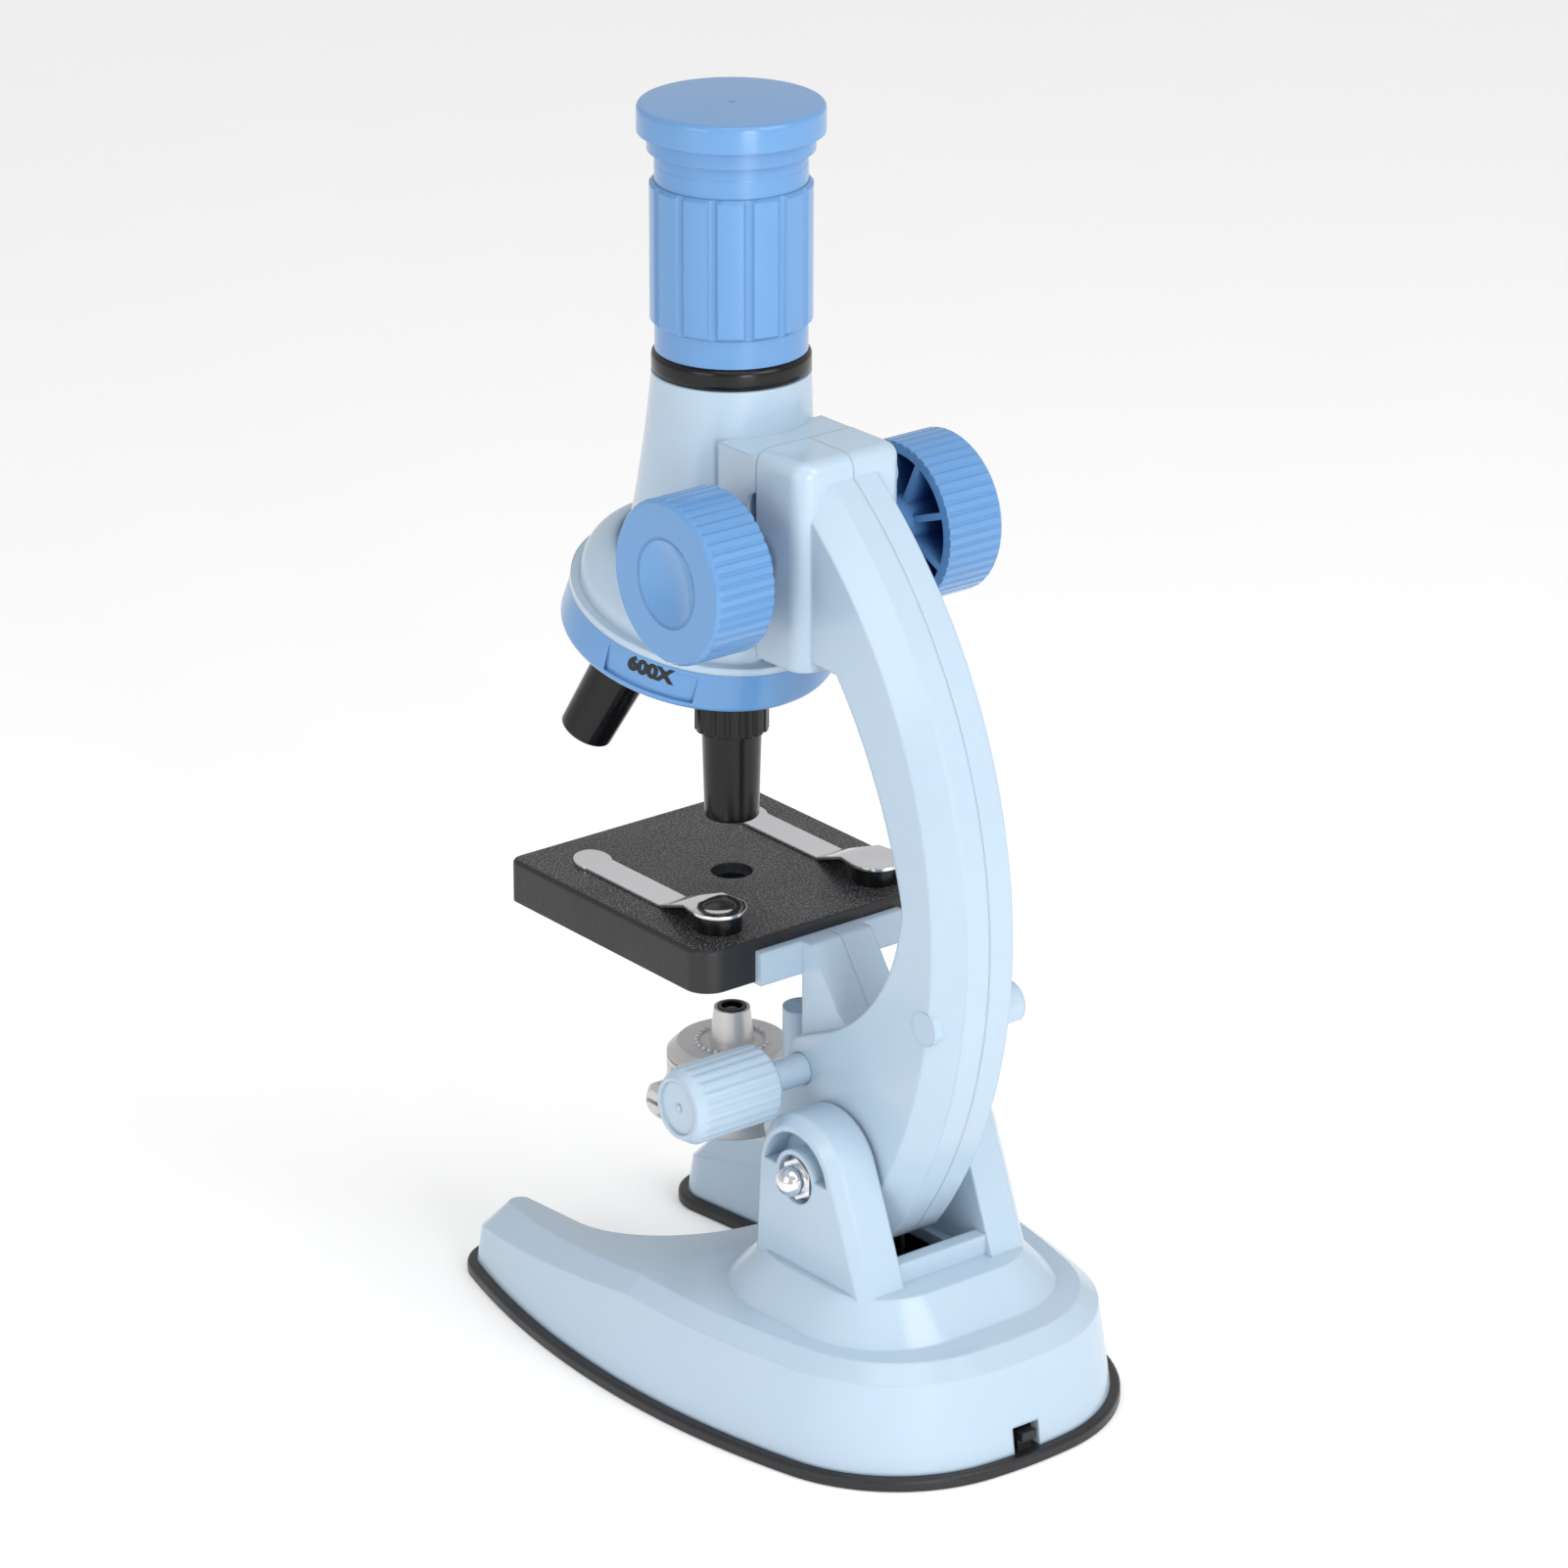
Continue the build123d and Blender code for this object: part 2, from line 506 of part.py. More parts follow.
def focus_knob():
    """Ribbed knob for the +X side: dished outside, hollow and spoked inside."""
    thick = KNOB_OUT - KNOB_IN
    bevelled = Cylinder(KNOB_R, thick - 0.7, align=BOTTOM)
    bevelled = bevelled + Pos(0, 0, thick - 0.7) * Cone(KNOB_R, 13.6, 0.7, align=BOTTOM)
    body = ribbed_disc(KNOB_R, 46, 0.42, thick) & bevelled
    body = body - Cylinder(12.3, thick - 2.4, align=BOTTOM)
    spokes = extrude(Circle(12.6) & Rectangle(26, 1.2), amount=thick - 1)
    for k in range(4):
        body = body + Rot(0, 0, 45 * k + 20) * spokes
    reach = KNOB_IN - HEAD_HALF - 0.5
    body = body + Pos(0, 0, -reach) * Cylinder(4.6, reach + thick - 1.2, align=BOTTOM)
    body = body - Pos(0, 0, thick + 14.6) * Sphere(16.4)
    body = body - Pos(0, 0, thick) * Torus(7.6, 0.28)
    body = body - Pos(0, 0, -reach - 1) * Cylinder(SHAFT_R, reach + thick - 2.0, align=BOTTOM)
    return Pos(KNOB_IN, FOCUS_Y, FOCUS_Z) * Rot(0, 90, 0) * body


def focus_shaft():
    return rod_x(SHAFT_R, -KNOB_OUT + 4.8, KNOB_OUT - 4.8, FOCUS_Y, FOCUS_Z)


def tooth_face(flank):
    """Gear tooth pointing along +X, from one flank's points."""
    points = [(x, -y) for x, y in flank] + flank[::-1]
    return make_face(chain(points + points[:1]))


def pinion():
    """Straight-toothed gear on the focus shaft, a tooth pointing at the rack's gap."""
    root, tip, half = PITCH_R - 0.85, PITCH_R + 0.6, pi * PITCH_R / TEETH / 2 - 0.14
    flank = [(root - 0.4, half + 0.3), (PITCH_R, half - 0.1), (tip, half - 0.42)]
    tooth = tooth_face(flank)
    gear = Circle(root) + [Rot(0, 0, 360 * k / TEETH) * tooth for k in range(TEETH)]
    body = extrude(gear, amount=7.6) - Cylinder(SHAFT_R, 20)
    return Pos(-3.8, FOCUS_Y, FOCUS_Z) * Rot(0, 90, 0) * Rot(0, 0, 90) * body


def rack():
    """Toothed strip inside the slide block, in mesh with the pinion at rest."""
    pitch = pi * MODULE
    body = block(-4.0, 4.0, CHANNEL_Y, RACK_Y - 0.85, 133.5, 163.4)
    half = pitch / 4 - 0.14
    tooth = tooth_face([(-1.2, half + 0.42), (0, half), (0.6, half - 0.22)])
    for k in range(-5, 6):
        middle = FOCUS_Z + (k + 0.5) * pitch
        body = body + side_plate(Pos(RACK_Y, middle) * tooth, -4.0, 4.0)
    return body


# ---------------------------------------------------------------- tube and nosepiece


def in_turret(shape):
    """Place a shape drawn about the turret's axis, z=0 on its lower face."""
    return Pos(*TURRET) * Rot(-TURRET_TILT, 0, 0) * shape


def channel(low):
    """T-shaped space for the rails, open at the bottom and back."""
    wide, narrow = RAIL_HOOK + GAP, RAIL_WEB + GAP
    body = block(-wide, wide, CHANNEL_Y, LIP_FRONT, low, CHANNEL_TOP)
    return body + block(-narrow, narrow, CHANNEL_Y, 10, low, CHANNEL_TOP)


def slide_block():
    """Block behind the tube whose lips hook behind the rails; the shaft passes through its side slots."""
    body = block(-HEAD_HALF, HEAD_HALF, -10.5, HEAD_FRONT - GAP, SLIDE_LOW, SLIDE_TOP)
    body = fillet(body.edges().filter_by(Axis.X).sort_by(Axis.Z)[-1:], 0.8)
    body = body - channel(SLIDE_LOW - 1)
    reach, low, high = SHAFT_R + 0.5, FOCUS_Z - 10.5, FOCUS_Z + 8.5
    slot = rod_x(reach, -20, 20, FOCUS_Y, low) + rod_x(reach, -20, 20, FOCUS_Y, high)
    return body - slot - block(-20, 20, FOCUS_Y - reach, FOCUS_Y + reach, low, high)


def tube_skin(shrink=0.0):
    """Round tube, its front flaring down to the nosepiece."""
    stations = ((TUBE_TOP, 13.6, OPTIC), (150.0, 15.5, OPTIC - 1.9), (134.0, 17.5, OPTIC - 4.0))
    rings = [Pos(0, y, z) * Circle(r - shrink) for z, r, y in stations]
    return loft(rings)


def dome(shrink=0.0):
    body = Pos(0, 0, TURRET_DEEP + GAP) * Cylinder(22.3 - shrink, 9.6 - shrink, align=BOTTOM)
    return fillet(body.edges().group_by(Axis.Z)[-1], 6.5 - shrink)


def body_tube():
    """Tube, nosepiece housing and focusing slide, moulded in one."""
    body = tube_skin() + in_turret(dome())
    body = body + in_turret(Pos(0, 0, TURRET_DEEP + GAP) * Cylinder(23.8, 1.5, align=BOTTOM))
    body = body - tube_skin(3.2) - rod_z(12.2, 158, TUBE_TOP + 1, 0, OPTIC)
    solid_block = slide_block() - rod_z(12.2, 100, 200, 0, OPTIC)
    wide = RAIL_HOOK + GAP
    body = body - block(-wide, wide, CHANNEL_Y, 10, 126, CHANNEL_TOP) + solid_block
    body = body - in_turret(Pos(0, 0, 2.0) * dome(2.0))
    body = body - block(-20, 20, HEAD_FRONT - GAP, 20, 120, 180)
    hub = Pos(0, 0, 2.0 + GAP) * Cylinder(4.2, 10, align=BOTTOM)
    pocket = Pos(*DETENT, 2.5) * Cylinder(2.7, 8, align=BOTTOM)
    plate = Pos(0, 0, TURRET_DEEP + GAP) * Cylinder(21.0, 2.0, align=BOTTOM)
    body = body + in_turret(plate + hub + pocket)
    ball_bore = Pos(*DETENT, 2.0) * Cylinder(1.5 + RUN, 7.4, align=BOTTOM)
    body = body - in_turret(Cylinder(1.5, 9, align=BOTTOM) + ball_bore)
    return body - rod_z(4.5, 116, 140, 0, OPTIC)


def tube_collar():
    body = rod_z(13.6, TUBE_TOP, TUBE_TOP + 3.7, 0, OPTIC)
    body = fillet(body.edges().filter_by(GeomType.CIRCLE), 1.0)
    return body - rod_z(11.5 + RUN, 170, 180, 0, OPTIC)


def detent_ball():
    return in_turret(Pos(*DETENT, 3.55) * Sphere(1.5))


def detent_spring():
    coil = Helix(0.95, 3.6, 1.05)
    wire = sweep(Plane(origin=coil @ 0, z_dir=coil % 0) * Circle(0.22), coil)
    return in_turret(Pos(*DETENT, 5.4) * wire)


def turret_screw():
    """Shoulder screw the turret turns on."""
    body = Pos(0, 0, -1.5) * Cylinder(2.9, 1.4, align=BOTTOM) + Cylinder(1.45, 8.5, align=BOTTOM)
    body = body + Pos(0, 0, -0.5) * Cylinder(2.0, 2.5 + GAP, align=BOTTOM)
    return in_turret(body - Pos(0, 0, -1.5) * (Box(3.6, 0.7, 1.4) + Box(0.7, 3.6, 1.4)))


def objective_place(k):
    """Turn about the turret's axis to the k-th objective's place."""
    out = Pos(*TURRET) * Rot(-TURRET_TILT, 0, 0)
    back = Rot(TURRET_TILT, 0, 0) * Pos(*[-v for v in TURRET])
    return out * Rot(0, 0, 120 * k) * back


def turret_ring():
    band = Cone(TURRET_R, TURRET_R - 0.8, TURRET_DEEP, align=BOTTOM)
    band = fillet(band.edges().sort_by(Axis.Z)[0], 1.2)
    band = band - Pos(0, 0, 2.0) * Cylinder(21.6, 10, align=BOTTOM)
    for k in range(3):
        panel = block(20, 30, -8.3, 8.3, 1.5, 6.4) - Cylinder(TURRET_R - 0.8, 20)
        band = band - Rot(0, 0, PANEL_ANGLE + 120 * k) * panel
        band = band - Rot(0, 0, 120 * k) * Pos(*DETENT, 3.1) * Sphere(1.5)
    body = in_turret(band - Cylinder(2.0 + RUN, 10))
    for k in range(3):
        body = body - objective_place(k) * rod_z(4.0, 110, 130, 0, OPTIC)
    return body


def objective(tip, k):
    """Black objective with a fluted collar, drawn upright, then turned to the k-th place."""
    flutes = [Pos(*polar((0, OPTIC), 6.75, 360 * i / 16)) * Circle(0.62) for i in range(16)]
    collar = Pos(0, 0, tip + 16.3) * extrude(Pos(0, OPTIC) * Circle(6.45) - flutes, amount=130 - tip)
    collar = collar - in_turret(Cylinder(40, 30, align=BOTTOM))
    plug = rod_z(4.0, 112, 126, 0, OPTIC) - in_turret(Pos(0, 0, 2.6) * Cylinder(40, 30, align=BOTTOM))
    barrel = Pos(0, OPTIC, tip) * Cone(4.75, 5.2, 16.4, align=BOTTOM)
    barrel = fillet(barrel.edges().sort_by(Axis.Z)[0], 0.5)
    body = barrel + collar + plug
    body = body - rod_z(3.0, tip + 2.4, 130, 0, OPTIC) - rod_z(1.9, tip - 1, tip + 3, 0, OPTIC)
    body = body - Pos(0, OPTIC, tip) * Cone(3.2, 1.9, 1.0, align=BOTTOM)
    return objective_place(k) * body


def objective_lens(tip, k):
    body = rod_z(3.0, tip + 2.4, tip + 3.6, 0, OPTIC)
    body = body + (Pos(0, OPTIC, tip - 0.9) * Sphere(5.4) & rod_z(3.0, tip + 3.5, tip + 5, 0, OPTIC))
    return objective_place(k) * body


# ---------------------------------------------------------------- eyepiece


def eyepiece_grip():
    low = TUBE_TOP + 3.7 + 0.1
    body = rod_z(13.0, low, 184, 0, OPTIC) + rod_z(12.95, 204, 213, 0, OPTIC)
    grooves = [Pos(*polar((0, OPTIC), 14.15, 360 * (k + 0.5) / 14)) * Circle(0.95) for k in range(14)]
    grip = Pos(0, 0, 182.3) * extrude(Pos(0, OPTIC) * Circle(13.8) - grooves, amount=24.5)
    envelope = rod_z(13.8, 182.3, 206.8, 0, OPTIC)
    body = body + (grip & chamfer(envelope.edges().filter_by(GeomType.CIRCLE), 0.6))
    body = body + rod_z(14.2, 212.2, 218.1, 0, OPTIC) - Pos(0, OPTIC, 210) * Torus(13.2, 0.3)
    body = body + rod_z(11.5, 160, low + 1, 0, OPTIC)
    body = body + rod_z(12.08, 172.0, TUBE_TOP - GAP, 0, OPTIC)
    body = body - rod_z(9.8, 150, 230, 0, OPTIC) - rod_z(10.8, 204, 230, 0, OPTIC)
    return body - rod_z(12.4, 216.0, 230, 0, OPTIC)


def eye_lens():
    body = rod_z(10.8, 204.0, 205.6, 0, OPTIC)
    return body + (Pos(0, OPTIC, 190.2) * Sphere(18.0) & rod_z(10.0, 205, 210, 0, OPTIC))


def eyepiece_stop():
    """Black ring that holds the eye lens."""
    body = rod_z(10.8, 207.9, 216.0, 0, OPTIC) + rod_z(12.4, 216.0, 217.2, 0, OPTIC)
    return body - rod_z(8.8, 200, 213.5, 0, OPTIC) - Pos(0, OPTIC, 213.4) * Cone(5.0, 11.0, 3.9, align=BOTTOM)


def field_lens():
    body = rod_z(9.8, 161.0, 162.4, 0, OPTIC)
    return body + (Pos(0, OPTIC, 148.6) * Sphere(16.4) & rod_z(9.0, 162, 166, 0, OPTIC))


def dust_cap():
    body = rod_z(15.9, 215.3, 220.0, 0, OPTIC)
    body = fillet(body.edges().filter_by(GeomType.CIRCLE).sort_by(Axis.Z)[-1:], 0.9)
    body = body - rod_z(14.2 + RUN, 214, 218.2, 0, OPTIC)
    return body - Pos(0, OPTIC, 220.3) * Sphere(0.7)


# ---------------------------------------------------------------- lamp


def lamp_housing():
    """Silver drum with two finger lugs, open above for the cap and below for the mirror."""
    body = rod_z(11.5, 35, 46.0, 0, OPTIC)
    body = fillet(body.edges().sort_by(Axis.Z)[0], 0.6)
    for side in (-1, 1):
        lug = rod_x(3.3, 10.5, 17.4, OPTIC, LAMP_Z)
        lug = chamfer(lug.edges().sort_by(Axis.X)[-1], 1.1)
        lug = lug - block(12.5, 20, OPTIC - 5, OPTIC + 5, 41.9, 42.6)
        body = body + (lug if side > 0 else mirror(lug, about=Plane.YZ))
    body = body - rod_z(9.9, 37.4, 50, 0, OPTIC) - rod_z(9.6, 34, 36.0, 0, OPTIC)
    return body - rod_y(2.4, OPTIC + 5, OPTIC + 15, 0, LAMP_Z)


def lamp_cap():
    """Drum top with bevelled edge, a ring of beads and the nose that holds the light."""
    body = rod_z(11.5, 46.0, 49.5, 0, OPTIC)
    body = chamfer(body.edges().filter_by(GeomType.CIRCLE).sort_by(Axis.Z)[-1:], 1.8)
    body = body - (rod_z(11.6, 47.1, 47.5, 0, OPTIC) - rod_z(11.1, 47, 48, 0, OPTIC))
    body = body + Pos(0, OPTIC, 49.4) * Cone(3.95, 3.2, 6.5, align=BOTTOM)
    for k in range(28):
        body = body + Pos(*polar((0, OPTIC), 6.2, 360 * k / 28), 49.6) * Sphere(0.5)
    body = body - rod_z(9.6, 45, 47.8, 0, OPTIC)
    return body - rod_z(2.2, 47, 54, 0, OPTIC) - rod_z(2.6, 53.9, 57, 0, OPTIC)


def lamp_bezel():
    body = rod_z(2.6, 53.9, 56.1, 0, OPTIC)
    return body - rod_z(1.9, 53, 57, 0, OPTIC)


def lamp_lens():
    crown = Pos(0, OPTIC, 53.1) * Sphere(2.6) & rod_z(1.8, 54.9, 56, 0, OPTIC)
    return rod_z(1.9, 53.9, 55.0, 0, OPTIC) + crown


def lamp_board():
    body = rod_z(9.7, 45.0, 46.0, 0, OPTIC) - rod_z(1.6, 44, 47, 0, OPTIC)
    return body + block(4, 7.5, OPTIC - 1.5, OPTIC + 1.5, 46, 47.2)


def lamp_led():
    body = rod_z(1.45, 45.2, 51.0, 0, OPTIC) + Pos(0, OPTIC, 51.0) * Sphere(1.45)
    return body + rod_z(0.3, 42.5, 46, -0.7, OPTIC) + rod_z(0.3, 42.5, 46, 0.7, OPTIC)


def lamp_mirror():
    return rod_z(9.55, 35.1, 35.98, 0, OPTIC)


def lamp_shaft():
    """Hollow shaft along y that the drum flips on, flanged inside the arm."""
    y0 = OPTIC + 8.6
    body = rod_y(2.4, y0, 3.8, 0, LAMP_Z)
    for r, back, front in ((3.3, 2.7, 3.8), (3.9, -9.3, -5.6)):
        body = body + rod_y(r, back, front, 0, LAMP_Z)
    return body - rod_y(1.1, -30, 10, 0, LAMP_Z)


def switch_knob():
    """Fluted knob on the arm's +X side."""
    ribs = 22
    cuts = [Pos(*polar((0, 0), 7.1, 360 * k / ribs)) * Circle(0.62) for k in range(ribs)]
    body = extrude(Circle(6.8) - cuts, amount=18.0)
    envelope = Cylinder(6.8, 16.0, align=BOTTOM) + Pos(0, 0, 16.0) * Cone(6.8, 5.5, 2.0, align=BOTTOM)
    body = body & chamfer(envelope.edges().sort_by(Axis.Z)[0], 0.9)
    body = body - Pos(0, 0, 17.5) * Cylinder(4.7, 2, align=BOTTOM)
    body = body + Pos(0, 0, 17.0) * Cylinder(0.7, 0.8, align=BOTTOM)
    body = body + Pos(0, 0, -10.2) * Cylinder(2.8, 12, align=BOTTOM)
    body = body - Pos(0, 0, -11) * Cylinder(1.5, 7.5, align=BOTTOM)
    return Pos(17.5, SWITCH_Y, SWITCH_Z) * Rot(0, 90, 0) * body


# ---------------------------------------------------------------- slide clips


def clip_spring():
    """Bright spring strip for the +X side: round dished end on the plug, cranked down to the stage."""
    low = [(2.6, 85.0), (-7.0, 85.0), (-15.5, 81.8), (-36.5, 81.8), (-41.8, 82.6)]
    high = [(y, z + 0.6) for y, z in reversed(low)]
    strip = side_plate(make_face(chain(low + high + low[:1])), CLIP_X - 6, CLIP_X + 6)
    plan = Pos(CLIP_X, CLIP_Y) * Circle(4.9) + Pos(CLIP_X, -38.2) * Circle(3.4)
    plan = plan + Pos(CLIP_X, -25.2) * Rectangle(5.8, 26.4)
    left, right = [(CLIP_X - 4.7, -4.0), (CLIP_X - 2.9, -15)], [(CLIP_X + 2.9, -15), (CLIP_X + 4.7, -4.0)]
    plan = plan + make_face(chain(left + right + left[:1]))
    strip = strip & Pos(0, 0, 80) * extrude(plan, amount=10)
    return strip - Pos(CLIP_X, CLIP_Y, 85.25 + 14.0) * Sphere(14.0)


def clip_plug():
    body = rod_z(4.1, STAGE_TOP + 0.05, 85.0, CLIP_X, CLIP_Y)
    return body + rod_z(2.4, STAGE_TOP - 3.9, 82.5, CLIP_X, CLIP_Y)


def save(name, shape):
    solids = shape if isinstance(shape, list) else [shape]
    export_step(Compound(children=[s for piece in solids for s in piece.solids()]), f"parts/{name}.step")


def build():
    right, left = arm_halves()
    return {
        "base_shell": base_shell(),
        "base_plate": base_plate(),
        "base_screws": base_screws(),
        "battery_door": battery_door(),
        "door_screw": door_screw(),
        "battery_cells": battery_cells(),
        "battery_contacts": battery_contacts(),
        "base_wires": base_wires(),
        "pivot_bolt": pivot_bolt(),
        "pivot_washers": pivot_washers(),
        "pivot_nut": pivot_nut(),
        "arm_right": right,
        "arm_left": left,
        "arm_screws": arm_screws(),
        "stage": stage(),
        "stage_screws": stage_screws(),
        "switch_body": switch_body(),
        "arm_wires": arm_wires(),
        "knob_right": focus_knob(),
        "knob_left": mirror(focus_knob(), about=Plane.YZ),
        "focus_shaft": focus_shaft(),
        "pinion": pinion(),
        "body_tube": body_tube(),
        "rack": rack(),
        "tube_collar": tube_collar(),
        "detent_ball": detent_ball(),
        "detent_spring": detent_spring(),
        "turret_screw": turret_screw(),
        "turret_ring": turret_ring(),
        "objective_high": objective(92.3, 0),
        "objective_mid": objective(97.3, -1),
        "objective_low": objective(101.3, 1),
        "lens_high": objective_lens(92.3, 0),
        "lens_mid": objective_lens(97.3, -1),
        "lens_low": objective_lens(101.3, 1),
        "eyepiece_grip": eyepiece_grip(),
        "eye_lens": eye_lens(),
        "eyepiece_stop": eyepiece_stop(),
        "field_lens": field_lens(),
        "dust_cap": dust_cap(),
        "lamp_housing": lamp_housing(),
        "lamp_cap": lamp_cap(),
        "lamp_bezel": lamp_bezel(),
        "lamp_lens": lamp_lens(),
        "lamp_board": lamp_board(),
        "lamp_led": lamp_led(),
        "lamp_mirror": lamp_mirror(),
        "lamp_shaft": lamp_shaft(),
        "switch_knob": switch_knob(),
        "switch_spindle": switch_spindle(),
        "clip_right": clip_spring(),
        "clip_right_plug": clip_plug(),
        "clip_left": mirror(clip_spring(), about=Plane.YZ),
        "clip_left_plug": mirror(clip_plug(), about=Plane.YZ),
    }


for name, shape in build().items():
    save(name, shape)
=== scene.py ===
import json
import math

import bpy
from mathutils import Matrix, Vector


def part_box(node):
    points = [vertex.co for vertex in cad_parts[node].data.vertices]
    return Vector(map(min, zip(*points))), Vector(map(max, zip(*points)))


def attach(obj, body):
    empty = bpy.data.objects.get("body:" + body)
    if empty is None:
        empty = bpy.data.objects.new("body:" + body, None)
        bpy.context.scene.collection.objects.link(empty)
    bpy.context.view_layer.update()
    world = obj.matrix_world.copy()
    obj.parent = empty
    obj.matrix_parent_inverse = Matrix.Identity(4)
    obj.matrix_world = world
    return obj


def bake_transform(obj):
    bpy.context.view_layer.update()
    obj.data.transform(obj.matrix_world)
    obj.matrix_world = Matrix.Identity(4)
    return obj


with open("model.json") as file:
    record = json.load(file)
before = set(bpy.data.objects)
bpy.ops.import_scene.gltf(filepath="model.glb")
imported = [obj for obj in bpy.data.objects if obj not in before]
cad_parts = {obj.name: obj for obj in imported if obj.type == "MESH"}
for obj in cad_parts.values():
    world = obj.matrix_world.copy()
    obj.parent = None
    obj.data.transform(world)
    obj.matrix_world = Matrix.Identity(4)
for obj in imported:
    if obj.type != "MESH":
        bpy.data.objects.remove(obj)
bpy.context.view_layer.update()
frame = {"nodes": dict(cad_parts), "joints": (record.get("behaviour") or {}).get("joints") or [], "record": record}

MM = 0.001
nodes = frame["nodes"]
record = frame["record"]
slots = {item["node"]: item["material_slot"] for item in record["subparts"]}
joints = {joint["name"]: joint for joint in frame["joints"]}


# ---------------------------------------------------------------- materials


def rgb(r, g, b):
    """Linear colour with full alpha, from sRGB values of 0 to 255."""
    shares = [value / 255 for value in (r, g, b)]
    linear = [c / 12.92 if c <= 10 / 255 else ((c + 0.055) / 1.055) ** 2.4 for c in shares]
    return (*linear, 1.0)


class Graph:
    """Small helper for wiring a material's nodes."""

    def __init__(self, name):
        self.material = bpy.data.materials.new(name)
        self.material.use_nodes = True
        self.tree = self.material.node_tree
        self.shader = self.tree.nodes["Principled BSDF"]
        self.place = self.add("ShaderNodeTexCoord").outputs["Object"]

    def add(self, kind, **values):
        node = self.tree.nodes.new(kind)
        for key, value in values.items():
            if hasattr(node, key):
                setattr(node, key, value)
            else:
                node.inputs[key.replace("_", " ")].default_value = value
        return node

    def link(self, a, b):
        self.tree.links.new(a, b)

    def noise(self, scale, detail=3.0, rough=0.5, stretch=None):
        node = self.add("ShaderNodeTexNoise", Scale=scale, Detail=detail, Roughness=rough)
        source = self.place
        if stretch:
            mapping = self.add("ShaderNodeMapping")
            mapping.inputs["Scale"].default_value = stretch
            self.link(source, mapping.inputs["Vector"])
            source = mapping.outputs["Vector"]
        self.link(source, node.inputs["Vector"])
        return node.outputs["Fac"]

    def remap(self, value, low, high, start=0.3, end=0.7):
        node = self.add("ShaderNodeMapRange")
        self.link(value, node.inputs["Value"])
        for key, number in (("From Min", start), ("From Max", end), ("To Min", low), ("To Max", high)):
            node.inputs[key].default_value = number
        return node.outputs["Result"]

    def mix(self, factor, a, b):
        node = self.add("ShaderNodeMix", data_type="RGBA")
        for socket, value in ((0, factor), (6, a), (7, b)):
            if isinstance(value, (tuple, float)):
                node.inputs[socket].default_value = value
            else:
                self.link(value, node.inputs[socket])
        return node.outputs[2]

    def math(self, operation, a, b):
        node = self.add("ShaderNodeMath", operation=operation)
        for socket, value in enumerate((a, b)):
            if isinstance(value, (int, float)):
                node.inputs[socket].default_value = value
            else:
                self.link(value, node.inputs[socket])
        return node.outputs[0]


def shade(color, factor):
    """The colour made lighter or darker, kept within range."""
    return tuple(min(1.0, c * factor) for c in color[:3]) + (1.0,)


def finish_material(
    name, color, rough=0.3, spread=0.05, smudge=0.08, grain=2600.0,
    bump=0.05, wave=0.0, edge=0.35, wear=0.06, painted_shade_color=None, **extra,
):
    """Surface with slow tone changes, smudges, fine grain, softened and lightly worn edges, and painted shade
    darkening the recesses.
    """
    g = Graph(name)
    tone = g.noise(38.0, 4.0)
    base = g.mix(g.remap(tone, 0.0, 1.0), shade(color, 1 - spread), shade(color, 1 + spread))
    rounded = g.add("ShaderNodeBevel", samples=4)
    rounded.inputs["Radius"].default_value = edge * MM
    facing = g.add("ShaderNodeNewGeometry")
    dot = g.add("ShaderNodeVectorMath", operation="DOT_PRODUCT")
    g.link(rounded.outputs[0], dot.inputs[0])
    g.link(facing.outputs["Normal"], dot.inputs[1])
    rim = g.remap(dot.outputs["Value"], 1.0, 0.0, 0.75, 0.99)  # 1 on an edge, 0 on a flat
    patchy = g.remap(g.noise(420.0, 2.0), 0.0, wear * 4)
    worn = g.math("MULTIPLY", rim, patchy)
    scraped = shade(color, 1.5 if max(color[:3]) > 0.2 else 3.0)
    base = g.mix(worn, base, scraped)
    # painted shade: ambient occlusion pulls recesses and grooves toward a darker colour, standing in for shade
    if painted_shade_color:
        painted_shade_ao = g.add("ShaderNodeAmbientOcclusion", samples=6)
        painted_shade_ao.inputs["Distance"].default_value = PAINTED_SHADE_REACH
        base = g.mix(g.remap(painted_shade_ao.outputs["AO"], 0.0, 1.0, 0.1, 0.55), painted_shade_color, base)
    g.link(base, g.shader.inputs["Base Color"])
    slow = g.remap(g.noise(95.0, 5.0, 0.6), rough - smudge, rough + smudge)
    scuffs = g.remap(g.noise(900.0, 2.0, 0.5, (1.0, 1.0, 0.12)), 0.0, smudge * 0.6, 0.55, 0.75)
    g.link(g.math("ADD", slow, scuffs), g.shader.inputs["Roughness"])
    normal = g.add("ShaderNodeBump")
    normal.inputs["Strength"].default_value = bump
    normal.inputs["Distance"].default_value = 0.0002
    g.link(g.noise(grain, 2.0), normal.inputs["Height"])
    g.link(rounded.outputs[0], normal.inputs["Normal"])
    last = normal
    if wave:
        swell = g.add("ShaderNodeBump")
        swell.inputs["Strength"].default_value = wave
        swell.inputs["Distance"].default_value = 0.0006
        g.link(g.noise(55.0, 1.0), swell.inputs["Height"])
        g.link(normal.outputs[0], swell.inputs["Normal"])
        last = swell
    g.link(last.outputs[0], g.shader.inputs["Normal"])
    for key, value in extra.items():
        g.shader.inputs[key.replace("_", " ")].default_value = value
    return g


PAINTED_SHADE_REACH = 9.0 * MM  # how far off the walls may be that cast the painted shade in a recess
LIGHT_BLUE = rgb(178, 198, 215)
MID_BLUE = rgb(98, 148, 200)

